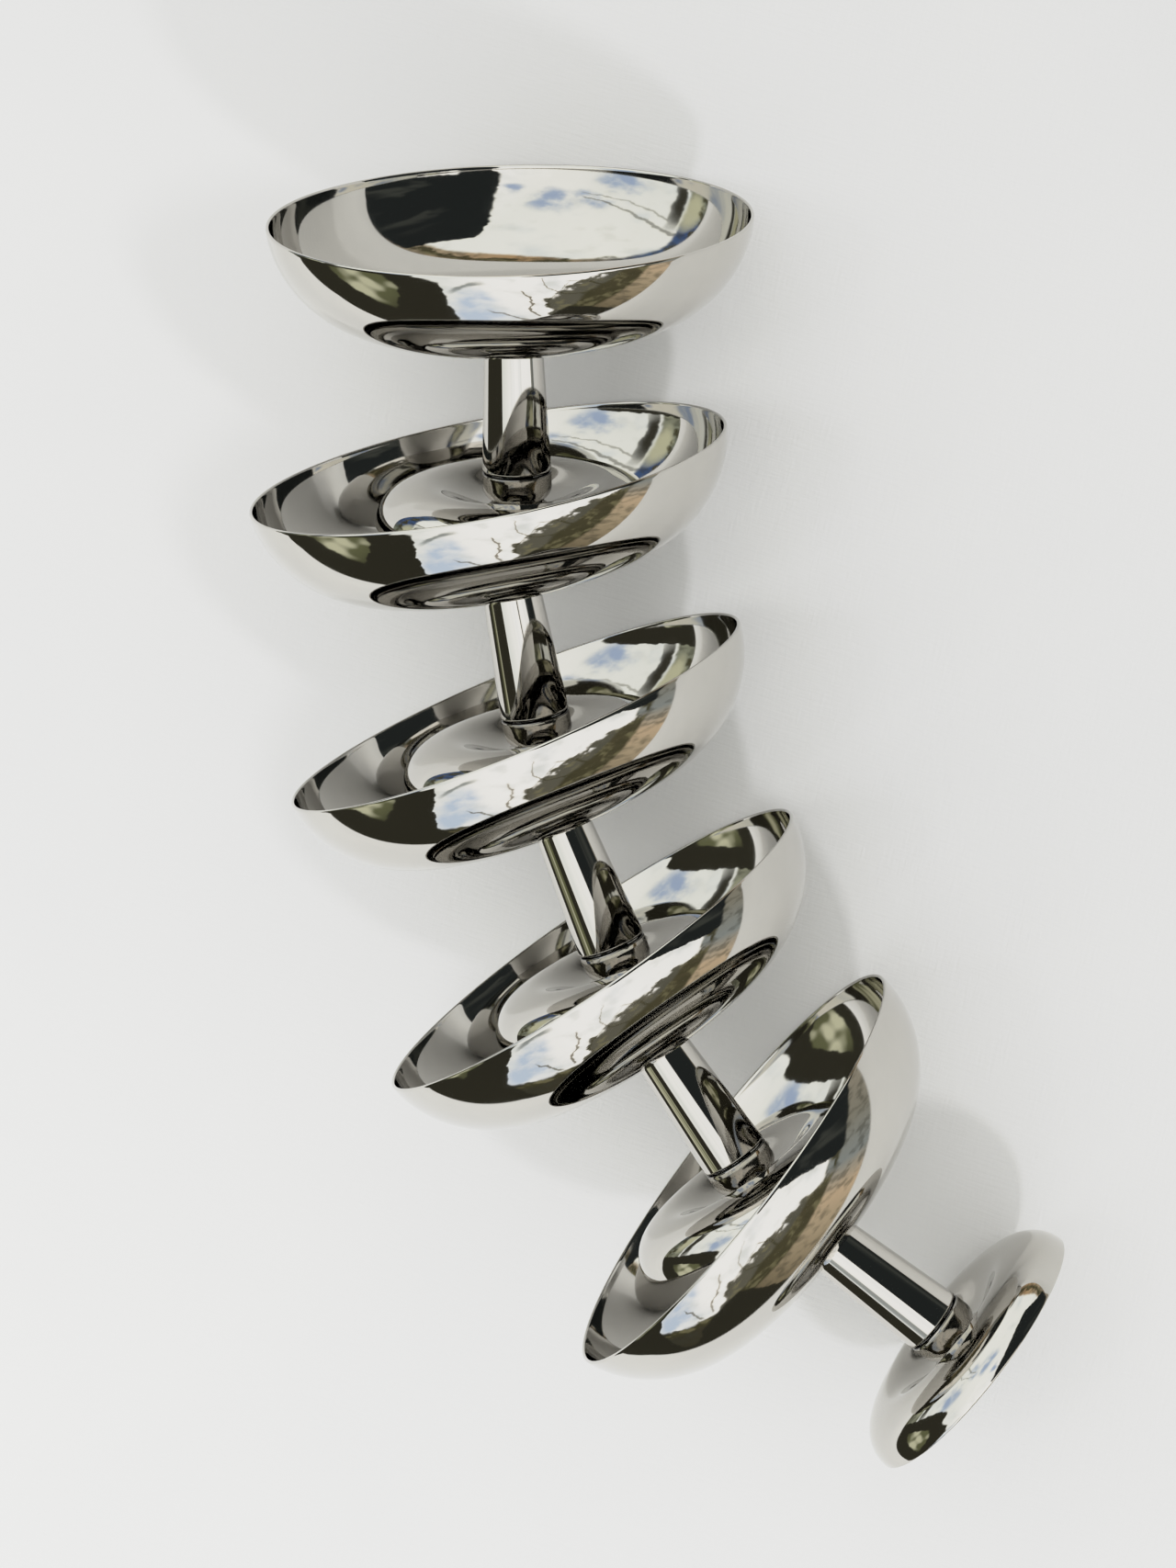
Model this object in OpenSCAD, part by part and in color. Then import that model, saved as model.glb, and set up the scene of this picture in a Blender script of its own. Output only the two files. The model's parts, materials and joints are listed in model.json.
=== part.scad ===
// Five footed dessert coupes of polished steel sheet, laid on their sides in a curved stack.
// The foot of each coupe stands inside the bowl of the next, and the last foot is free.
// World frame: +Z up, the table is z = 0, and the origin is the middle of the stack's outline.
// Each coupe is drawn upright about +Z, from its foot edge at z = 0 to its rim.

/* [Bowl] */
// Outside diameter of the rim
rim_d = 95; // [90:1:100]
// Height of one coupe, from the foot edge to the rim
cup_h = 61; // [59:0.5:64]
// Outside depth of the bowl
bowl_depth = 22.9; // [21:0.1:24]
// Roundness of the bowl side, as the power of its radius
bowl_side = 3.9; // [3:0.1:5]
// Roundness of the bowl bottom, as the power of its depth
bowl_bottom = 1.67; // [1.5:0.01:2]
// Thickness of the steel sheet
sheet = 0.7; // [0.5:0.1:1]

/* [Foot] */
// Diameter of the foot edge
foot_d = 56.5; // [54:0.5:58]
// Height of the foot's raised ring above its edge
foot_h = 8.5; // [8:0.1:9]
// Roundness of the foot's skirt, as the power of its radius
foot_side = 6.5; // [5:0.1:8]
// Roundness of the foot's shoulder, as the power of its height
foot_top = 1.95; // [1.7:0.01:2.2]
// Depth of the dished middle below the raised ring
dish = 4.3; // [3.8:0.1:4.5]
// Radius of the raised ring
ring_r = 19; // [17:0.5:21]
// Radius of the flat seat under the collar
seat_r = 6; // [5.5:0.1:7]

/* [Stem] */
// Diameter of the stem at the bowl
stem_top_d = 11.3; // [11:0.1:12]
// Diameter of the stem at the seam
stem_low_d = 13.6; // [13:0.1:14]
// Diameter of the bore through the stem
stem_bore_d = 8.8; // [8:0.1:9]
// Height of the screwed seam above the foot edge
seam_z = 10.3; // [10:0.1:11]
// Open width of the seam
seam_gap = 0.3; // [0.2:0.05:0.4]
// Bevel on the stem end at the seam
bevel = 0.25; // [0.1:0.05:0.4]
// Rounding of the collar's lower end
collar_round = 3; // [2:0.1:3.2]
// Height of the boss that is welded under the bowl
boss_h = 3; // [2:0.5:5]
// Length of the threaded bush in the stem
bush_h = 12; // [9:0.5:15]

/* [Foot screw] */
// Diameter of the screw
screw_d = 6; // [5:0.5:6]
// How far the screw reaches past the seam
screw_reach = 10; // [7:0.5:11]
// Radial clearance of the screw in the bush
thread_play = 0.05; // [0.02:0.01:0.1]
// Diameter of the screw head
head_d = 10; // [9:0.5:11]
// Height of the screw head
head_h = 2.2; // [2:0.1:2.4]
// Diameter of the washer
washer_d = 13; // [12:0.5:16]
// Thickness of the washer
washer_h = 0.6; // [0.4:0.1:0.8]
// Size of the hexagon socket, across its corners
socket_d = 4.6; // [4:0.1:5]
// Depth of the hexagon socket
socket_h = 1.3; // [1:0.1:1.5]

/* [Lie of the stack] */
// Turn of the free coupe about the vertical, from +X
last_yaw = 154; // [150:1:158]
// Turn from the second coupe to the first
bend_1 = 9.7; // [8:0.1:11]
// Turn from the third coupe to the second
bend_2 = 12.4; // [11:0.1:13]
// Turn from the fourth coupe to the third
bend_3 = 12.2; // [11:0.1:13]
// Turn from the fifth coupe to the fourth
bend_4 = 17.4; // [16:0.1:18]
// Tilt of the first three coupes above the table
lean = 10.5; // [10:0.1:11]
// Tilt of the fourth coupe above the table
lean_4 = 12.6; // [12:0.1:13]
// How far the first foot reaches into the second bowl
nest_1 = 13.6; // [12:0.05:13.7]
// How far the second foot reaches into the third bowl
nest_2 = 13.5; // [12:0.05:13.6]
// How far the third foot reaches into the fourth bowl
nest_3 = 13.1; // [12:0.05:13.2]
// How far the fourth foot reaches into the fifth bowl
nest_4 = 10.9; // [10:0.05:11]
// Sideways offset of the first foot in the second bowl
slide_1 = 0.8; // [0:0.1:2]
// Sideways offset of the second foot in the third bowl
slide_2 = -1.9; // [-3:0.1:-1]
// Sideways offset of the third foot in the fourth bowl
slide_3 = -1.5; // [-3:0.1:-1]
// Sideways offset of the fourth foot in the fifth bowl
slide_4 = -4.8; // [-5:0.1:-4]

/* [Hidden] */
$fn = 96;
eps = 0.01;
COUNT = 5;
PIECES = ["bowl", "stem", "weld_boss", "threaded_bush", "collar", "foot", "washer", "foot_screw"];

rim_r = rim_d / 2;
foot_r = foot_d / 2;
bowl_z = cup_h - bowl_depth;
seat_z = foot_h - dish;
under_z = seat_z - sheet;
stem_z = seam_z + seam_gap / 2;
collar_z = seam_z - seam_gap / 2;
bore_fit = 0.02;
hole_fit = 0.2;
hole_r = screw_d / 2 + hole_fit;
cut_past = 1;

// Fractions of a radius along a side curve, closer together towards the edge, where it turns fastest
curve_steps = 28;
crowding = 2.5;
CURVE = [for (i = [0:curve_steps]) 1 - pow(1 - i / curve_steps, crowding)];

// Height of a bowl curve below its rim, at a fraction u of its radius
function bowl_drop(u, depth) = depth * pow(1 - pow(u, bowl_side), 1 / bowl_bottom);

// Points of a bowl curve from its middle to the rim
function bowl_line(r, depth) = [for (u = CURVE) [r * u, cup_h - bowl_drop(u, depth)]];

// How much of the dish is left at radius r: all of it on the seat and none from the ring outwards
function dish_part(r) =
    r <= seat_r ? 1 : r >= ring_r ? 0 : (1 + cos(180 * (r - seat_r) / (ring_r - seat_r))) / 2;

// Fractions of the foot's radius: even steps across the dish and the ring, then those of a side curve
dish_steps = 15;
dish_from = hole_r / foot_r;
dish_to = 0.72;
FOOT_CURVE = concat(
    [for (i = [0:dish_steps]) dish_from + (dish_to - dish_from) * i / dish_steps],
    [for (u = CURVE) if (u > dish_to) u]
);

// Points of a foot curve from the screw hole to the foot edge
function foot_line(r, h) = [
    for (u = FOOT_CURVE) [r * u, h * pow(1 - pow(u, foot_side), 1 / foot_top) - dish * dish_part(r * u)]
];

function backwards(points) = [for (i = [len(points) - 1:-1:0]) points[i]];

// The two outer curves as one outline, which the lie of the stack is worked out from
OUTLINE = concat(bowl_line(rim_r, bowl_depth), foot_line(foot_r, foot_h));

// Tilt of a coupe that lies on both its bowl and its foot edge
last_lean = atan(max([for (p = bowl_line(rim_r, bowl_depth)) (p[0] - foot_r) / p[1]]));

BEND = [bend_1, bend_2, bend_3, bend_4];
NEST = [nest_1, nest_2, nest_3, nest_4];
SLIDE = [slide_1, slide_2, slide_3, slide_4];
LEAN = [lean, lean, lean, lean_4, last_lean];

function yaw(k) = k == COUNT - 1 ? last_yaw : yaw(k + 1) - BEND[k];

// Unit vectors of a coupe: along its stem, up its bowl's face, and across it
function along(k) = [cos(LEAN[k]) * cos(yaw(k)), cos(LEAN[k]) * sin(yaw(k)), sin(LEAN[k])];
function upwards(k) = [-sin(LEAN[k]) * cos(yaw(k)), -sin(LEAN[k]) * sin(yaw(k)), cos(LEAN[k])];
function across(k) = cross(along(k), upwards(k));

// How far the outline of a coupe reaches from its foot centre in a direction
function reach(k, dir) = max([
    for (p = OUTLINE) p[1] * (along(k) * dir) + p[0] * sqrt(max(0, 1 - pow(along(k) * dir, 2)))
]);

// Height of a foot centre when its coupe lies on the table
function foot_z(k) = reach(k, [0, 0, -1]);

// Foot centres: each one stands in the next bowl, at the height that lets its own bowl lie on the table
function rim_centre(k) = foot_centre(k) + cup_h * along(k);
function nest_drop(k) =
    (foot_z(k) - foot_z(k + 1) - (cup_h - NEST[k]) * along(k + 1)[2] - SLIDE[k] * across(k + 1)[2])
    / upwards(k + 1)[2];
function foot_centre(k) =
    k == COUNT - 1
        ? [0, 0, foot_z(k)]
        : rim_centre(k + 1) - NEST[k] * along(k + 1) + SLIDE[k] * across(k + 1)
            + nest_drop(k) * upwards(k + 1);

// Middle of the whole stack, seen from above
function far_side(dir) = max([for (k = [0:COUNT - 1]) foot_centre(k) * dir + reach(k, dir)]);
MIDDLE = [
    (far_side([1, 0, 0]) - far_side([-1, 0, 0])) / 2,
    (far_side([0, 1, 0]) - far_side([0, -1, 0])) / 2,
    0
];

// Puts an upright coupe's piece where that coupe lies
module lay(k) {
    translate(foot_centre(k) - MIDDLE) rotate([0, 90 - LEAN[k], yaw(k)]) children();
}

// The pressed bowl, a closed skin from its outer to its inner curve
module bowl() {
    color("silver")
        rotate_extrude()
            polygon(concat(
                bowl_line(rim_r, bowl_depth),
                backwards(bowl_line(rim_r - sheet, bowl_depth - sheet))
            ));
}

// The tapered stem with its bevelled lower end and a straight bore
module stem() {
    low_r = stem_low_d / 2;
    color("gainsboro")
        rotate_extrude()
            polygon([
                [stem_bore_d / 2, stem_z],
                [low_r - bevel, stem_z],
                [low_r, stem_z + bevel],
                [stem_top_d / 2, bowl_z],
                [stem_bore_d / 2, bowl_z]
            ]);
}

// The boss inside the stem's top, welded to the bowl
module weld_boss() {
    color("darkgray")
        translate([0, 0, bowl_z - boss_h])
            cylinder(r = stem_bore_d / 2 - bore_fit, h = boss_h);
}

// The bush inside the stem's lower end, which the screw holds
module threaded_bush() {
    color("darkgray")
        difference() {
            translate([0, 0, stem_z]) cylinder(r = stem_bore_d / 2 - bore_fit, h = bush_h);
            translate([0, 0, stem_z - cut_past])
                cylinder(r = screw_d / 2 + thread_play, h = bush_h + 2 * cut_past);
        }
}

// The loose collar between the foot and the stem
module collar() {
    top_r = stem_low_d / 2;
    arc_step = 9;
    color("lightgray")
        rotate_extrude()
            polygon(concat(
                [[hole_r, collar_z], [hole_r, seat_z]],
                [
                    for (a = [-90:arc_step:0])
                        [top_r + collar_round * (cos(a) - 1), seat_z + collar_round * (sin(a) + 1)]
                ],
                [[top_r, collar_z - bevel], [top_r - bevel, collar_z]]
            ));
}

// The pressed foot with its dished middle, raised ring and turned-down skirt
module foot() {
    inside = [
        for (p = foot_line(foot_r - sheet, foot_h - sheet)) if (p[1] > 0) [max(p[0], hole_r), p[1]]
    ];
    color("silver")
        rotate_extrude()
            polygon(concat(
                foot_line(foot_r, foot_h),
                [[foot_r - sheet, 0]],
                backwards(inside)
            ));
}

// The washer between the screw head and the foot
module washer() {
    color("darkgray")
        difference() {
            translate([0, 0, under_z - washer_h]) cylinder(d = washer_d, h = washer_h);
            translate([0, 0, under_z - washer_h - cut_past])
                cylinder(r = hole_r, h = washer_h + 2 * cut_past);
        }
}

// The screw that pulls the foot and the collar up to the stem
module foot_screw() {
    head_top = under_z - washer_h;
    color("dimgray")
        difference() {
            union() {
                translate([0, 0, head_top - head_h]) cylinder(d = head_d, h = head_h);
                translate([0, 0, head_top - eps])
                    cylinder(d = screw_d, h = seam_z + screw_reach - head_top + eps);
            }
            translate([0, 0, head_top - head_h - eps]) cylinder(d = socket_d, h = socket_h + eps, $fn = 6);
        }
}

for (k = [0:COUNT - 1]) lay(k) {
    bowl();
    stem();
    weld_boss();
    threaded_bush();
    collar();
    foot();
    washer();
    foot_screw();
}
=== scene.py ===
"""Five mirror-polished steel coupes, laid on their sides in a curved stack on a pale cloth.

Every coupe is a body of revolution, so each visible piece is a turned mesh in the coupe's own frame:
+Z along the stem and z = 0 at the foot edge, as in the CAD model. All lengths are in metres.
"""
import json
import math

import bmesh
import bpy
from mathutils import Matrix, Vector


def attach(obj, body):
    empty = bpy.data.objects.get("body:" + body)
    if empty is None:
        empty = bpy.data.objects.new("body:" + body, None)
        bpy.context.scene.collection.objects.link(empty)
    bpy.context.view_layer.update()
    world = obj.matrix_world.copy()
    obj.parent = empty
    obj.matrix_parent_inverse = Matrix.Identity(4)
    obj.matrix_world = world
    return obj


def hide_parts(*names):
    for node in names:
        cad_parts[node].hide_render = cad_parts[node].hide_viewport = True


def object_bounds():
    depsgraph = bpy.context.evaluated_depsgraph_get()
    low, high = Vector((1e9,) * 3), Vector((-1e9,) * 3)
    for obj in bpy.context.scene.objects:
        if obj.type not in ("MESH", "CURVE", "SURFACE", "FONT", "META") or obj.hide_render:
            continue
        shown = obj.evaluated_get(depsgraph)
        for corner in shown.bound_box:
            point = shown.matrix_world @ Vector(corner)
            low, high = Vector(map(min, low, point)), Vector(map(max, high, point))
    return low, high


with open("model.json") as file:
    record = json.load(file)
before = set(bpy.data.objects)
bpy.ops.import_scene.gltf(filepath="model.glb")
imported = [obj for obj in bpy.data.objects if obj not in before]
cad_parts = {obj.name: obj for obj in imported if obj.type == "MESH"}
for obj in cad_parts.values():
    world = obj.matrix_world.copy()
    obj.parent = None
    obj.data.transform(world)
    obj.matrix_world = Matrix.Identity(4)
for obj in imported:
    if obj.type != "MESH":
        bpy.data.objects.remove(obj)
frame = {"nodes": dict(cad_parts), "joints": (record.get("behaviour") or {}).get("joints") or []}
CAD_BOX = [list(corner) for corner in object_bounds()]

# ---------------------------------------------------------------- sizes that the CAD model is made to
MM = 0.001
CUPS = (1, 2, 3, 4, 5)
RIM_R, CUP_H, BOWL_DEPTH, SHEET = 47.5 * MM, 61 * MM, 22.9 * MM, 0.7 * MM
BOWL_SIDE, BOWL_BOTTOM = 3.9, 1.67
FOOT_R, FOOT_H, DISH, RING_R, SEAT_R = 28.25 * MM, 8.5 * MM, 4.3 * MM, 19 * MM, 6 * MM
FOOT_SIDE, FOOT_TOP = 6.5, 1.95
STEM_TOP_R, STEM_LOW_R, STEM_BORE_R = 5.65 * MM, 6.8 * MM, 4.4 * MM
SEAM_Z, SEAM_GAP, BEVEL, COLLAR_ROUND = 10.3 * MM, 0.3 * MM, 0.25 * MM, 3 * MM
HOLE_R, WASHER_R, WASHER_H, WASHER_BEVEL = 3.2 * MM, 6.5 * MM, 0.6 * MM, 0.12 * MM
SEAT_Z = FOOT_H - DISH
BOWL_Z = CUP_H - BOWL_DEPTH
UNDER_Z = SEAT_Z - SHEET

SEGMENTS = 160
WASHER_SEGMENTS = 96
BOWL_STEPS, FOOT_STEPS, LIP_STEPS, ROUND_STEPS, STEM_STEPS = 84, 96, 9, 17, 12
LIP = SHEET / 2
SKIN_END = LIP * 1.05


# ---------------------------------------------------------------- outlines
def superellipse_drop(u, depth, side, bottom):
    """How far below its edge a pressed curve lies, at the fraction u of its radius."""
    return depth * max(0.0, 1 - u**side) ** (1 / bottom)


def even_steps(points, count):
    """The same line with its points spaced evenly along it."""
    lengths = [0.0]
    for a, b in zip(points, points[1:]):
        lengths.append(lengths[-1] + math.dist(a, b))
    out, i = [], 0
    for step in range(count):
        s = lengths[-1] * step / (count - 1)
        while i < len(points) - 2 and lengths[i + 1] < s:
            i += 1
        span = lengths[i + 1] - lengths[i]
        t = (s - lengths[i]) / span if span else 0.0
        a, b = points[i], points[i + 1]
        out.append((a[0] + (b[0] - a[0]) * t, a[1] + (b[1] - a[1]) * t))
    return out


def fine_fractions(start=0.0, count=1500):
    """Fractions of a radius, crowded towards 1, where a pressed curve turns upright."""
    return [start + (1 - start) * (1 - (1 - i / count) ** 3) for i in range(count + 1)]


def bowl_side(radius, depth, count):
    """A bowl curve from the middle of its bottom to its rim."""
    line = [
        (radius * u, CUP_H - superellipse_drop(u, depth, BOWL_SIDE, BOWL_BOTTOM))
        for u in fine_fractions()
    ]
    return even_steps(line, count)


def dish_part(r):
    """How much of the foot's dish is left at radius r."""
    if r <= SEAT_R:
        return 1.0
    if r >= RING_R:
        return 0.0
    return (1 + math.cos(math.pi * (r - SEAT_R) / (RING_R - SEAT_R))) / 2


def foot_side(radius, height, count):
    """A foot curve from its screw hole to its edge."""
    line = []
    for u in fine_fractions(HOLE_R / radius):
        drop = superellipse_drop(u, height, FOOT_SIDE, FOOT_TOP)
        line.append((radius * u, drop - DISH * dish_part(radius * u)))
    return even_steps(line, count)


def arc(centre_r, centre_z, radius, start, end, count):
    """Points of an arc in the (radius, height) plane, with its angles in degrees."""
    out = []
    for i in range(count):
        a = math.radians(start + (end - start) * i / (count - 1))
        out.append((centre_r + radius * math.cos(a), centre_z + radius * math.sin(a)))
    return out


def rounded(points, radius, steps=3):
    """A closed outline with each corner cut by a small curve."""
    out = []
    count = len(points)
    for i, p in enumerate(points):
        before, after = points[i - 1], points[(i + 1) % count]
        to_before = (before[0] - p[0], before[1] - p[1])
        to_after = (after[0] - p[0], after[1] - p[1])
        la, lb = math.hypot(*to_before), math.hypot(*to_after)
        cut = min(radius, la / 2.5, lb / 2.5)
        a = (p[0] + to_before[0] / la * cut, p[1] + to_before[1] / la * cut)
        b = (p[0] + to_after[0] / lb * cut, p[1] + to_after[1] / lb * cut)
        for s in range(steps + 1):
            t = s / steps
            w = ((1 - t) ** 2, 2 * t * (1 - t), t * t)
            out.append(tuple(w[0] * a[j] + w[1] * p[j] + w[2] * b[j] for j in (0, 1)))
    return out


# ---------------------------------------------------------------- meshes
def cup_frame(cup):
    """The matrix that lays an upright coupe where the CAD model has it."""
    joint = next(j for j in frame["joints"] if j["name"] == f"unscrew_{cup}")
    axis = Vector(joint["axis"]).normalized()
    face_up = (Vector((0, 0, 1)) - axis * axis.z).normalized()
    turn = Matrix((face_up.cross(axis), face_up, axis)).transposed()
    return Matrix.Translation(joint["pos_m"]) @ turn.to_4x4()


def lathe(name, outline, closed=False, segments=SEGMENTS):
    """A turned mesh from an outline of (radius, height) points; a point on the axis becomes one vertex.

    The attribute height keeps each vertex's height in the coupe's own frame, for the materials.
    """
    bm = bmesh.new()
    rings = []
    for r, z in outline:
        if r < 1e-7:
            rings.append([bm.verts.new((0, 0, z))])
        else:
            ring = []
            for s in range(segments):
                a = 2 * math.pi * s / segments
                ring.append(bm.verts.new((r * math.cos(a), r * math.sin(a), z)))
            rings.append(ring)
    pairs = list(zip(rings, rings[1:]))
    if closed:
        pairs.append((rings[-1], rings[0]))
    for low, high in pairs:
        for s in range(segments):
            n = (s + 1) % segments
            if len(low) == 1 and len(high) == 1:
                continue
            if len(low) == 1:
                bm.faces.new((low[0], high[n], high[s]))
            elif len(high) == 1:
                bm.faces.new((low[s], low[n], high[0]))
            else:
                bm.faces.new((low[s], low[n], high[n], high[s]))
    bmesh.ops.recalc_face_normals(bm, faces=bm.faces)
    mesh = bpy.data.meshes.new(name)
    bm.to_mesh(mesh)
    bm.free()
    for face in mesh.polygons:
        face.use_smooth = True
    height = mesh.attributes.new("height", "FLOAT", "POINT")
    for vertex in mesh.vertices:
        height.data[vertex.index].value = vertex.co.z
    obj = bpy.data.objects.new(name, mesh)
    bpy.context.scene.collection.objects.link(obj)
    return obj


def bowl_mesh(name):
    """The pressed bowl: both skins and a rounded rim between them."""
    outer = bowl_side(RIM_R, BOWL_DEPTH, BOWL_STEPS)
    inner = bowl_side(RIM_R - SHEET, BOWL_DEPTH - SHEET, BOWL_STEPS)
    outer = [p for p in outer if p[1] < CUP_H - SKIN_END]
    inner = [p for p in inner if p[1] < CUP_H - SKIN_END]
    rim = arc(RIM_R - LIP, CUP_H - LIP, LIP, 0, 180, LIP_STEPS)
    return lathe(name, outer + rim + inner[::-1])


def foot_mesh(name):
    """The pressed foot: both skins and a rounded edge at its foot."""
    outer = foot_side(FOOT_R, FOOT_H, FOOT_STEPS)
    inner = foot_side(FOOT_R - SHEET, FOOT_H - SHEET, FOOT_STEPS)
    outer = [p for p in outer if p[1] > SKIN_END]
    inner = [p for p in inner if p[1] > SKIN_END or p[0] < RING_R]
    edge = arc(FOOT_R - LIP, LIP, LIP, 0, -180, LIP_STEPS)
    return lathe(name, outer + edge + inner[::-1], closed=True)


def stem_mesh(name):
    """The tapered stem, with a small bevel at the seam and a bore."""
    low = SEAM_Z + SEAM_GAP / 2
    wall_low, narrowing = low + BEVEL, STEM_TOP_R - STEM_LOW_R
    rise = [0, 0.01, 0.02] + [t / STEM_STEPS for t in range(1, STEM_STEPS + 1)]
    outer = [(STEM_LOW_R + narrowing * t, wall_low + (BOWL_Z - wall_low) * t) for t in rise]
    bevel = [(STEM_LOW_R - BEVEL, low), (STEM_LOW_R - BEVEL * 0.3, low + BEVEL * 0.25)]
    bore = [(STEM_BORE_R, BOWL_Z), (STEM_BORE_R, low)]
    return lathe(name, bevel + outer + bore, closed=True)


def collar_mesh(name):
    """The loose collar: rounded at its lower end and bevelled at the seam."""
    top = SEAM_Z - SEAM_GAP / 2
    wall_low, wall_high = SEAT_Z + COLLAR_ROUND, top - BEVEL
    barrel = arc(STEM_LOW_R - COLLAR_ROUND, wall_low, COLLAR_ROUND, -90, 0, ROUND_STEPS)
    wall = [(STEM_LOW_R, wall_low + (wall_high - wall_low) * t) for t in (0.3, 0.6, 0.85, 0.95, 1)]
    bevel = [(STEM_LOW_R - BEVEL * 0.3, top - BEVEL * 0.25), (STEM_LOW_R - BEVEL, top)]
    return lathe(name, barrel + wall + bevel + [(HOLE_R, top), (HOLE_R, SEAT_Z)], closed=True)


def washer_mesh(name):
    """The flat washer under the head of the screw, with small bevels."""
    low = UNDER_Z - WASHER_H
    ring = [(HOLE_R, low), (WASHER_R, low), (WASHER_R, UNDER_Z), (HOLE_R, UNDER_Z)]
    return lathe(name, rounded(ring, WASHER_BEVEL), closed=True, segments=WASHER_SEGMENTS)


# ---------------------------------------------------------------- shader nodes
class Nodes:
    """Short ways to add shader nodes. A value is a number, a tuple or another node's output."""

    def __init__(self, tree):
        self.tree = tree

    def feed(self, value, target):
        if isinstance(value, bpy.types.NodeSocket):
            self.tree.links.new(value, target)
        else:
            target.default_value = value

    def add(self, kind, inputs, **settings):
        """A new node, with its inputs given by name or by place."""
        made = self.tree.nodes.new(kind)
        for key, value in settings.items():
            setattr(made, key, value)
        for key, value in inputs.items():
            self.feed(value, made.inputs[key])
        return made

    def calc(self, operation, *values):
        return self.add("ShaderNodeMath", dict(enumerate(values)), operation=operation).outputs["Value"]

    def vector(self, operation, *values):
        made = self.add("ShaderNodeVectorMath", dict(enumerate(values)), operation=operation)
        return made.outputs["Value" if operation == "DOT_PRODUCT" else "Vector"]

    def noise(self, place, scale, detail, roughness=0.5):
        inputs = {"Vector": place, "Scale": scale, "Detail": detail, "Roughness": roughness}
        return self.add("ShaderNodeTexNoise", inputs)

    def remap(self, value, source, target=(0, 1), kind="LINEAR"):
        """Takes one range of a value to another, and stops at its ends."""
        inputs = {"Value": value, "From Min": source[0], "From Max": source[1]}
        inputs.update({"To Min": target[0], "To Max": target[1]})
        return self.add("ShaderNodeMapRange", inputs, interpolation_type=kind).outputs["Result"]

    def bump(self, height, strength, distance, **below):
        inputs = {"Height": height, "Strength": strength, "Distance": distance, **below}
        return self.add("ShaderNodeBump", inputs).outputs["Normal"]

    def blend(self, amount, first, second):
        """A colour between two others."""
        return self.add("ShaderNodeMix", {0: amount, 6: first, 7: second}, data_type="RGBA").outputs[2]

    def mix_shader(self, amount, first, second):
        return self.add("ShaderNodeMixShader", {0: amount, 1: first, 2: second}).outputs["Shader"]

    def ramp(self, value, stops):
        """A colour that follows a value, from (position, colour) stops."""
        made = self.add("ShaderNodeValToRGB", {"Fac": value})
        line = made.color_ramp.elements
        while len(line) < len(stops):
            line.new(0.5)
        for element, (position, shade) in zip(line, sorted(stops)):
            element.position = position
            element.color = (*shade, 1)
        return made.outputs["Color"]


# ---------------------------------------------------------------- materials
def new_material(name, base, metallic, roughness):
    """A material, with its nodes, its shader and the coordinates of the object that wears it."""
    material = bpy.data.materials.new(name)
    material.use_nodes = True
    shader = material.node_tree.nodes["Principled BSDF"]
    shader.inputs["Base Color"].default_value = (*base, 1)
    shader.inputs["Metallic"].default_value = metallic
    shader.inputs["Roughness"].default_value = roughness
    nodes = Nodes(material.node_tree)
    place = nodes.add("ShaderNodeTexCoord", {}).outputs["Object"]
    return material, nodes, shader, place


def mirror_steel(name, base, seam=False):
    """Polished stainless steel with faint smudges and a slight ripple, and with painted shade in its seam
    gap.
    """
    material, nodes, shader, place = new_material(name, base, 1.0, 0.04)
    smudge = nodes.noise(place, 55, 5, 0.62).outputs["Fac"]
    nodes.feed(nodes.remap(smudge, (0.35, 0.8), (0.025, 0.085)), shader.inputs["Roughness"])
    smudged = [part * 0.93 for part in base]
    tint = nodes.ramp(smudge, [(0.3, smudged), (0.75, base)])
    if seam:
        # painted shade: the base colour turns near black in a narrow band round the seam between stem and
        # collar, where the gap lies in shade
        height = nodes.add("ShaderNodeAttribute", {}, attribute_name="height").outputs["Fac"]
        away = nodes.calc("ABSOLUTE", nodes.calc("SUBTRACT", height, SEAM_Z))
        outside_seam_shade = nodes.remap(away, (SEAM_GAP / 2 + BEVEL * 0.4, SEAM_GAP / 2 + BEVEL * 1.4))
        tint = nodes.blend(outside_seam_shade, (*SEAM_PAINTED_SHADE, 1), tint)
    nodes.feed(tint, shader.inputs["Base Color"])
    ripple = nodes.noise(place, 28, 1).outputs["Fac"]
    nodes.feed(nodes.bump(ripple, 0.35, 0.12 * MM), shader.inputs["Normal"])
    return material


def turned_steel(name, base):
    """Plain steel as it comes from the lathe or the thread roller."""
    material, nodes, shader, place = new_material(name, base, 1.0, 0.3)
    grain = nodes.noise(place, 900, 4).outputs["Fac"]
    nodes.feed(nodes.remap(grain, (0, 1), (0.22, 0.42)), shader.inputs["Roughness"])
    nodes.feed(nodes.bump(grain, 0.3, 0.03 * MM), shader.inputs["Normal"])
    return material


# the colour of the painted shade in the seam gap between stem and collar
SEAM_PAINTED_SHADE = (0.02, 0.019, 0.016)
STEEL = mirror_steel("polished_steel", (0.54, 0.524, 0.492))
TUBE = mirror_steel("polished_tube", (0.53, 0.512, 0.48), seam=True)
PLAIN = turned_steel("plain_steel", (0.55, 0.55, 0.54))

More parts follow.
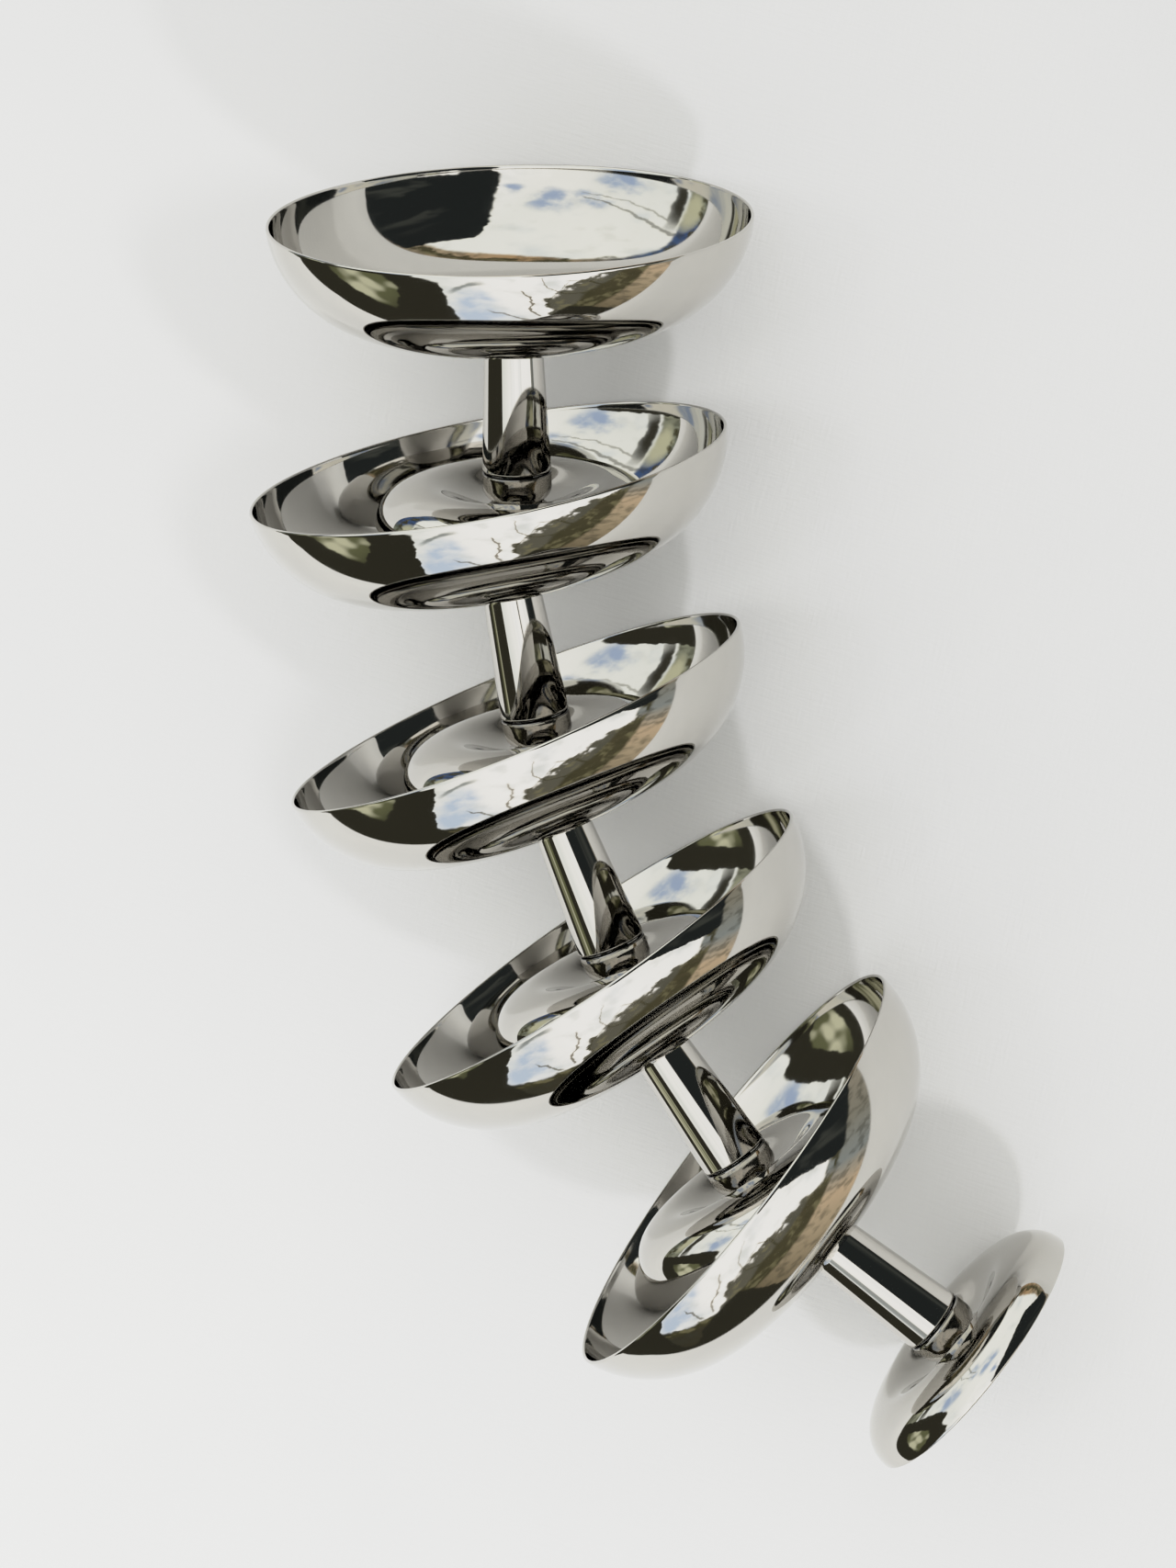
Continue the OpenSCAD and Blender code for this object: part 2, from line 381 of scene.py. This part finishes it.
# ---------------------------------------------------------------- the five coupes
PIECES = (
    ("bowl", bowl_mesh, "cup", STEEL, "polished_steel"),
    ("stem", stem_mesh, "cup", TUBE, "polished_tube"),
    ("collar", collar_mesh, "base", TUBE, "polished_tube"),
    ("foot", foot_mesh, "base", STEEL, "polished_steel"),
    ("washer", washer_mesh, "base", PLAIN, "plain_steel"),
)
for cup in CUPS:
    lie = cup_frame(cup)
    for kind, make, body, material, slot in PIECES:
        piece = make(f"turned_{kind}_{cup}")
        piece.data.transform(lie)
        piece.data.materials.append(material)
        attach(piece, f"{body}_{cup}")
        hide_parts(f"{kind}_{cup}")
for name, node in frame["nodes"].items():
    if name.startswith(("weld_boss", "threaded_bush", "foot_screw")):
        node.data.materials.clear()
        node.data.materials.append(PLAIN)


# ---------------------------------------------------------------- cloth
FLOOR_HALF = 30.0
THREAD_TURN = math.radians(15)
THREAD_STRETCHES = ((1.0, 0.12, 1.0), (0.12, 1.0, 1.0))
# the way across the table along which the cloth's painted light grows brighter
PAINTED_LIGHT_WAY = (-0.42, -0.906, 0)

# the table's edges: the way out over each one, and how far it is from the origin
TABLE_SIDES = (
    ((1.0, -0.18, 0.0), 0.192),
    ((0.778, -0.628, 0.0), 0.229),
    ((0.0, -1.0, 0.0), 0.33),
    ((-1.0, 0.0, 0.0), 0.4),
    ((0.0, 1.0, 0.0), 0.26),
)
TABLE_EDGE_BLUR = 0.012


def past_table(nodes):
    """1 outside the table's edges and 0 inside them."""
    where = nodes.add("ShaderNodeNewGeometry", {}).outputs["Position"]
    gaps = []
    for way_out, reach in TABLE_SIDES:
        gaps.append(nodes.calc("SUBTRACT", nodes.vector("DOT_PRODUCT", where, way_out), reach))
    farthest = gaps[0]
    for gap in gaps[1:]:
        farthest = nodes.calc("MAXIMUM", farthest, gap)
    return nodes.remap(farthest, (0, TABLE_EDGE_BLUR))


def cloth_material():
    """Pale cloth with fine threads, soft folds and a painted gradient of light. The steel sees it only as
    far as the table's edges.
    """
    material, nodes, shader, place = new_material("cloth", (0.84, 0.84, 0.83), 0.0, 0.9)
    threads = []
    for stretch in THREAD_STRETCHES:
        inputs = {"Vector": place, "Scale": stretch, "Rotation": (0, 0, THREAD_TURN)}
        turned = nodes.add("ShaderNodeMapping", inputs).outputs["Vector"]
        threads.append(nodes.noise(turned, 1500, 2).outputs["Fac"])
    weave = nodes.bump(nodes.calc("ADD", *threads), 0.4, 0.2 * MM)
    folds = nodes.noise(place, 9, 3).outputs["Fac"]
    nodes.feed(nodes.bump(folds, 0.5, 3 * MM, Normal=weave), shader.inputs["Normal"])

    shade = nodes.ramp(folds, [(0.3, (0.8, 0.805, 0.805)), (0.7, (0.85, 0.85, 0.84))])
    # painted light: the cloth's colour grows from 0.82 to 1.18 times brighter across the table, a gradient
    # of light painted into the base colour
    along = nodes.vector("DOT_PRODUCT", place, PAINTED_LIGHT_WAY)
    painted_light_tone = nodes.remap(along, (-0.25, 0.25), (0.82, 1.18))
    painted_light_colour = nodes.add("ShaderNodeVectorMath", {0: shade, "Scale": painted_light_tone}, operation="SCALE")
    nodes.feed(painted_light_colour.outputs["Vector"], shader.inputs["Base Color"])

    reflected = nodes.add("ShaderNodeLightPath", {}).outputs["Is Glossy Ray"]
    clear = nodes.add("ShaderNodeBsdfTransparent", {}).outputs["BSDF"]
    gone = nodes.calc("MULTIPLY", past_table(nodes), reflected)
    surface = nodes.mix_shader(gone, shader.outputs["BSDF"], clear)
    nodes.feed(surface, material.node_tree.nodes["Material Output"].inputs["Surface"])
    return material


def make_floor():
    mesh = bpy.data.meshes.new("cloth_floor")
    half = FLOOR_HALF
    corners = [(-half, -half, 0), (half, -half, 0), (half, half, 0), (-half, half, 0)]
    mesh.from_pydata(corners, [], [(0, 1, 2, 3)])
    floor = bpy.data.objects.new("cloth_floor", mesh)
    floor.data.materials.append(cloth_material())
    bpy.context.scene.collection.objects.link(floor)


# ---------------------------------------------------------------- the painted surroundings
def colour(red, green, blue):
    """A colour given as the 0 to 255 values of a screen, as the linear values that shaders use."""
    parts = [v / 255 for v in (red, green, blue)]
    return tuple(p / 12.92 if p < 0.04045 else ((p + 0.055) / 1.055) ** 2.4 for p in parts)


class Painter(Nodes):
    """Paints an environment by direction: azimuth from +X, and elevation, both in degrees.

    Inside the nodes both run from 0 to 1: the azimuth from -CUT degrees once round, and the elevation
    from straight down to straight up. A little noise moves every direction, so that edges look natural.
    """

    CUT = 22.0
    SHIFT = 0.09

    def __init__(self, tree):
        super().__init__(tree)
        self.direction = self.add("ShaderNodeTexCoord", {}).outputs["Generated"]
        rough = self.noise(self.direction, 9, 5, 0.6).outputs["Color"]
        shift = self.vector("MULTIPLY_ADD", rough, (self.SHIFT,) * 3, (-self.SHIFT / 2,) * 3)
        unit = self.vector("NORMALIZE", self.vector("ADD", self.direction, shift))
        split = self.add("ShaderNodeSeparateXYZ", {"Vector": unit})
        turn = self.calc("ARCTAN2", split.outputs["Y"], split.outputs["X"])
        self.azimuth = self.calc("FRACT", self.calc("MULTIPLY_ADD", turn, 0.5 / math.pi, self.CUT / 360))
        height = self.calc("ARCSINE", split.outputs["Z"])
        self.elevation = self.calc("MULTIPLY_ADD", height, 1 / math.pi, 0.5)
        self.result = None

    def spot(self, azimuth):
        return ((azimuth + self.CUT) % 360) / 360

    def level(self, elevation):
        return (elevation + 90) / 180

    def ease(self, value, low, high):
        """0 below low, 1 above high and a smooth step between them."""
        return self.remap(value, (low, high), kind="SMOOTHSTEP")

    def curve(self, points, value):
        made = self.add("ShaderNodeFloatCurve", {"Value": value})
        line = made.mapping.curves[0]
        line.points[0].location = points[0]
        line.points[1].location = points[-1]
        for point in points[1:-1]:
            line.points.new(*point)
        for point in line.points:
            point.handle_type = "AUTO_CLAMPED"
        made.mapping.update()
        return made.outputs["Value"]

    def skyline(self, *points):
        """The level of a line that is given as (azimuth, elevation) points."""
        return self.curve([(self.spot(a), self.level(e)) for a, e in points], self.azimuth)

    def between(self, low, high, soft):
        """1 where the elevation is between two lines, with edges soft degrees wide."""
        s = soft / 360
        under = self.ease(self.calc("SUBTRACT", high, self.elevation), -s, s)
        over = self.ease(self.calc("SUBTRACT", self.elevation, low), -s, s)
        return self.calc("MULTIPLY", under, over)

    def band(self, middle, below, above, soft):
        """1 on a band along a line, which reaches below and above it by parts of the half circle."""
        low, high = self.calc("SUBTRACT", middle, below), self.calc("ADD", middle, above)
        return self.between(low, high, soft)

    def upright_line(self, points, width):
        """1 on a thin line that is given as (elevation, azimuth) points, from the lowest to the highest."""
        middle = self.curve([(self.level(e), self.spot(a)) for e, a in points], self.elevation)
        off = self.calc("ABSOLUTE", self.calc("SUBTRACT", self.azimuth, middle))
        far = self.ease(off, width * 0.55 / 360, width * 1.45 / 360)
        inside = self.between(self.level(points[0][0]), self.level(points[-1][0]), 3)
        return self.calc("MULTIPLY", self.calc("SUBTRACT", 1.0, far), inside)

    def spread(self, azimuth, elevation, wide, tall):
        """A soft oval spot, 1 in its middle and 0 at its edge."""
        across = self.calc("MULTIPLY", self.calc("SUBTRACT", self.azimuth, self.spot(azimuth)), 360 / wide)
        above = self.calc("SUBTRACT", self.elevation, self.level(elevation))
        up = self.calc("MULTIPLY", above, 180 / tall)
        r2 = self.calc("ADD", self.calc("POWER", across, 2.0), self.calc("POWER", up, 2.0))
        return self.calc("SUBTRACT", 1.0, self.ease(r2, 0.1, 1.0))

    def patches(self, scale, detail, low, high, stretch=(1, 1, 1)):
        """Patches of noise: 1 where it is over high and 0 where it is under low."""
        place = self.add("ShaderNodeMapping", {"Vector": self.direction, "Scale": stretch}).outputs["Vector"]
        return self.ease(self.noise(place, scale, detail).outputs["Fac"], low, high)

    def by_azimuth(self, *stops):
        """A colour by azimuth, from (azimuth, red, green, blue) stops."""
        return self.ramp(self.azimuth, [(self.spot(a), colour(*shade)) for a, *shade in stops])

    def paint(self, mask, paint, strength=1.0):
        """Lays a colour over what is there, as far as the mask goes."""
        amount = mask if strength == 1.0 else self.calc("MULTIPLY", mask, strength)
        if isinstance(paint, tuple):
            paint = (*colour(*paint), 1)
        self.result = self.blend(amount, self.result, paint)

    def paint_both(self, first, second, paint, strength=1.0):
        """Lays a colour where two masks overlap."""
        self.paint(self.calc("MULTIPLY", first, second), paint, strength)


# azimuth, elevation, width and height of the blue gaps in the cloud
SKY_GAPS = ((50, 67, 20, 9), (110, 66, 40, 16), (185, 52, 40, 20), (150, 60, 20, 14))

# (elevation, azimuth) points, width and colour of each bare branch and wire
BRANCHES = (
    (((2, 160), (15, 158), (30, 157), (45, 155), (58, 150), (64, 143)), 1.2, (120, 121, 116)),
    (((18, 165), (30, 166), (40, 166), (52, 163), (62, 157), (68, 150)), 0.8, (140, 141, 136)),
    (((4, 297), (14, 299), (24, 304), (34, 306)), 0.55, (84, 76, 60)),
    (((6, 303), (16, 308), (22, 318), (27, 330)), 0.5, (96, 88, 70)),
    (((10, 322), (20, 317), (32, 319), (42, 327)), 0.45, (104, 96, 80)),
    (((8, 331), (18, 333), (28, 330)), 0.6, (92, 86, 66)),
    (((2, 292), (10, 289), (18, 284)), 0.5, (96, 92, 80)),
)


def paint_sky(p):
    """Bright broken cloud with blue gaps, branches and one arched cable."""
    p.result = p.by_azimuth(
        (-22, 244, 242, 238), (85, 216, 218, 211), (130, 220, 221, 213), (185, 206, 209, 204),
        (262, 214, 216, 211), (300, 244, 242, 237), (337, 246, 244, 240),
    )
    p.paint(p.patches(2.6, 5, 0.5, 0.72), (176, 186, 194), 0.55)
    p.paint(p.patches(5.5, 6, 0.52, 0.7), (190, 193, 190), 0.5)
    p.paint(p.ease(p.elevation, p.level(60), p.level(80)), (224, 224, 217), 0.8)
    gaps = p.patches(3.4, 5, 0.42, 0.66)
    p.paint_both(p.spread(281, 20, 14, 34), p.calc("ADD", gaps, 0.3), (168, 182, 202), 0.9)
    for gap in SKY_GAPS:
        p.paint_both(p.spread(*gap), gaps, (122, 141, 172), 0.85)
    for points, width, shade in BRANCHES:
        p.paint(p.upright_line(points, width), shade, 0.85)
    cable = p.skyline((268, 36), (277, 45.5), (285, 49.5), (294, 51))
    p.paint_both(p.band(cable, 0.014, 0.012, 3), p.spread(280, 44, 15, 16), (116, 121, 120), 0.9)


def paint_ground(p):
    """Ground and trees round the horizon, and a ragged crown of leaves over part of them."""
    ground = p.by_azimuth(
        (-22, 150, 136, 113), (-11, 168, 150, 125), (-3, 140, 133, 120), (3, 116, 121, 120),
        (24, 112, 110, 100), (60, 126, 119, 106), (86, 146, 132, 110), (108, 150, 124, 92),
        (128, 110, 104, 92), (144, 58, 76, 104), (168, 52, 70, 106), (180, 92, 98, 88),
        (200, 116, 118, 102), (232, 66, 68, 54), (262, 40, 40, 32), (296, 54, 51, 40),
        (312, 92, 84, 66), (337, 150, 136, 113),
    )
    trees = p.skyline(
        (-22, 9), (-8, 8), (0, 3), (40, 4), (80, 3), (105, 5), (125, 1), (150, 2), (168, 10),
        (200, 12), (215, 10), (250, 12), (275, 2), (290, 0), (312, 5), (325, 11), (337, 9),
    )
    p.paint(p.between(p.level(-95), trees, 3), ground)
    trunks = p.patches(16, 6, 0.45, 0.62, (1, 1, 0.4))
    p.paint_both(trunks, p.between(p.level(-60), trees, 3), (52, 52, 44), 0.5)
    p.paint(p.spread(178, 7, 18, 8), (168, 168, 142), 0.85)

    ragged = p.calc("ADD", p.elevation, p.calc("MULTIPLY", p.patches(9, 3, 0.3, 0.7), -0.045))
    crown = p.skyline(
        (-22, 14), (-12, 13), (-4, 2), (2, -5), (297, -5), (302, 4), (306, 11), (314, 15), (324, 18),
        (330, 17), (337, 14),
    )
    below_crown = p.ease(p.calc("SUBTRACT", crown, ragged), -0.009, 0.009)
    leaves = p.calc("MULTIPLY", below_crown, p.ease(p.elevation, p.level(-6), p.level(-3)))
    p.paint(leaves, (56, 54, 38), 0.95)
    p.paint_both(leaves, p.patches(11, 4, 0.5, 0.66), (112, 108, 82), 0.6)


def paint_porch(p):
    """A dark porch with an open arch, and its beam."""
    outside = p.skyline(
        (198, 0), (200, 20), (204, 38), (210, 48), (220, 55), (230, 57), (238, 51), (250, 48), (259, 48),
        (266, 38), (270, 22), (272, 5), (278, -8), (284, -20), (290, -10), (298, 0), (307, 5), (312, 0),
        (316, -30),
    )
    p.paint(p.between(p.level(-34), outside, 2.4), (38, 37, 30))
    arch = p.skyline((212, 8), (217, 20), (223, 28), (230, 33), (236, 34), (243, 31), (248, 23), (250, 10))
    window = p.calc("MULTIPLY", p.between(p.level(8), arch, 2), p.spread(232, 20, 26, 30))
    p.paint(window, (84, 86, 62), 0.9)
    p.paint_both(window, p.patches(4, 1, 0.42, 0.62), (182, 182, 158), 0.75)
    beam = p.skyline((160, 12), (166, 15), (180, 18), (190, 18), (202, 18))
    p.paint_both(p.band(beam, 0.022, 0.022, 1.6), p.spread(183, 14, 27, 14), (44, 43, 36))


def paint_screen(p):
    """A tall dark screen on the camera's side, with faint upright streaks low down."""
    top = p.skyline(
        (-22, 30), (-10, 50), (-3, 64), (15, 66), (30, 65), (45, 61), (60, 54), (70, 46), (78, 37),
        (83, 27), (85, 18), (87, 0),
    )
    foot = p.skyline(
        (-22, 60), (-5, 50), (0, 47), (5, 43), (8, 28), (10, -6), (72, -6), (75, 3), (79, 11), (84, 20),
        (88, 30),
    )
    p.paint(p.between(foot, top, 2.2), (27, 30, 30))
    streaks = p.calc("MULTIPLY", p.patches(7, 2, 0.5, 0.66, (1, 1, 0.15)), p.spread(34, 12, 34, 34))
    p.paint_both(p.between(p.level(-6), p.level(32), 10), streaks, (80, 82, 76), 0.3)


def make_world():
    """Plain pale light for everything but the steel, which reflects the painted surroundings."""
    world = bpy.data.worlds.new("daylight")
    world.use_nodes = True
    bpy.context.scene.world = world
    p = Painter(world.node_tree)
    paint_sky(p)
    paint_ground(p)
    paint_porch(p)
    paint_screen(p)

    reflected = p.add("ShaderNodeLightPath", {}).outputs["Is Glossy Ray"]
    plain = p.add("ShaderNodeBackground", {"Color": (*colour(*PLAIN_LIGHT), 1), "Strength": PLAIN_STRENGTH})
    painted = world.node_tree.nodes["Background"]
    p.feed(p.result, painted.inputs["Color"])
    painted.inputs["Strength"].default_value = PAINTED_STRENGTH
    surface = p.mix_shader(reflected, plain.outputs["Background"], painted.outputs["Background"])
    p.feed(surface, world.node_tree.nodes["World Output"].inputs["Surface"])
    world.cycles.sampling_method = "NONE"


# ---------------------------------------------------------------- light, display and camera
PLAIN_LIGHT, PLAIN_STRENGTH, PAINTED_STRENGTH = (232, 232, 229), 1.42, 2.25

# name, azimuth, elevation, apparent size in degrees, and strength
SUNS = (
    ("key", 335, 44, 5, 0.75),
    ("fill", 190, 75.5, 7, 0.09),
)

# scene brightness, and the brightness that is shown for it
BRIGHTEST = 2.5
SHOWN = ((0.0, 0.0), (0.3, 0.3), (0.6, 0.585), (0.8, 0.71), (1.2, 0.82), (1.7, 0.905), (2.5, 0.985))

# the camera's azimuth, elevation and roll, its distance from the point it looks at, its lens and sensor in
# millimetres, that point's shift from the middle of the CAD box along X and Y, and its height
CAMERA_ANGLES = 126.04, 69.09, -110.14
CAMERA_DISTANCE, CAMERA_LENS, CAMERA_SENSOR = 1.2598, 147.6274, 36
AIM_SHIFT_X, AIM_SHIFT_Y, AIM_HEIGHT = -12.74 * MM, -0.41 * MM, 45 * MM


def make_suns():
    """Soft light from two sides. The suns don't show in the steel, where the painted sky does."""
    for name, azimuth, elevation, size, strength in SUNS:
        data = bpy.data.lights.new(name, "SUN")
        data.energy = strength
        data.angle = math.radians(size)
        sun = bpy.data.objects.new(name, data)
        a, e = math.radians(azimuth), math.radians(elevation)
        towards = Vector((math.cos(a) * math.cos(e), math.sin(a) * math.cos(e), math.sin(e)))
        sun.rotation_euler = towards.to_track_quat("Z", "Y").to_euler()
        sun.visible_glossy = False
        bpy.context.scene.collection.objects.link(sun)


def soften_highlights():
    """A plain display curve that rolls off above a mid tone, so that pale cloth keeps its weave."""
    settings = bpy.context.scene.view_settings
    settings.view_transform = "Standard"
    settings.use_curve_mapping = True
    mapping = settings.curve_mapping
    mapping.white_level = (BRIGHTEST,) * 3
    line = mapping.curves[3]
    line.points[0].location = SHOWN[0]
    line.points[-1].location = (1.0, SHOWN[-1][1])
    for scene_value, shown in SHOWN[1:-1]:
        line.points.new(scene_value / BRIGHTEST, shown)
    mapping.update()


def make_camera():
    """A long lens from above and to the side, turned so that the stack runs down the picture."""
    azimuth, elevation, roll = (math.radians(angle) for angle in CAMERA_ANGLES)
    back = Vector((
        math.sin(azimuth) * math.cos(elevation),
        -math.cos(azimuth) * math.cos(elevation),
        math.sin(elevation),
    ))
    low, high = (Vector(corner) for corner in CAD_BOX)
    middle = (low + high) / 2
    aim = Vector((middle.x + AIM_SHIFT_X, middle.y + AIM_SHIFT_Y, AIM_HEIGHT))
    data = bpy.data.cameras.new("camera")
    data.sensor_fit = "VERTICAL"
    data.sensor_height = CAMERA_SENSOR
    data.sensor_width = CAMERA_SENSOR
    data.lens = CAMERA_LENS
    camera = bpy.data.objects.new("camera", data)
    camera.location = aim + back * CAMERA_DISTANCE
    turn = (-back).to_track_quat("-Z", "Y").to_matrix() @ Matrix.Rotation(roll, 3, "Z")
    camera.rotation_euler = turn.to_euler()
    bpy.context.scene.collection.objects.link(camera)
    bpy.context.scene.camera = camera


make_floor()
make_world()
make_suns()
make_camera()
soften_highlights()
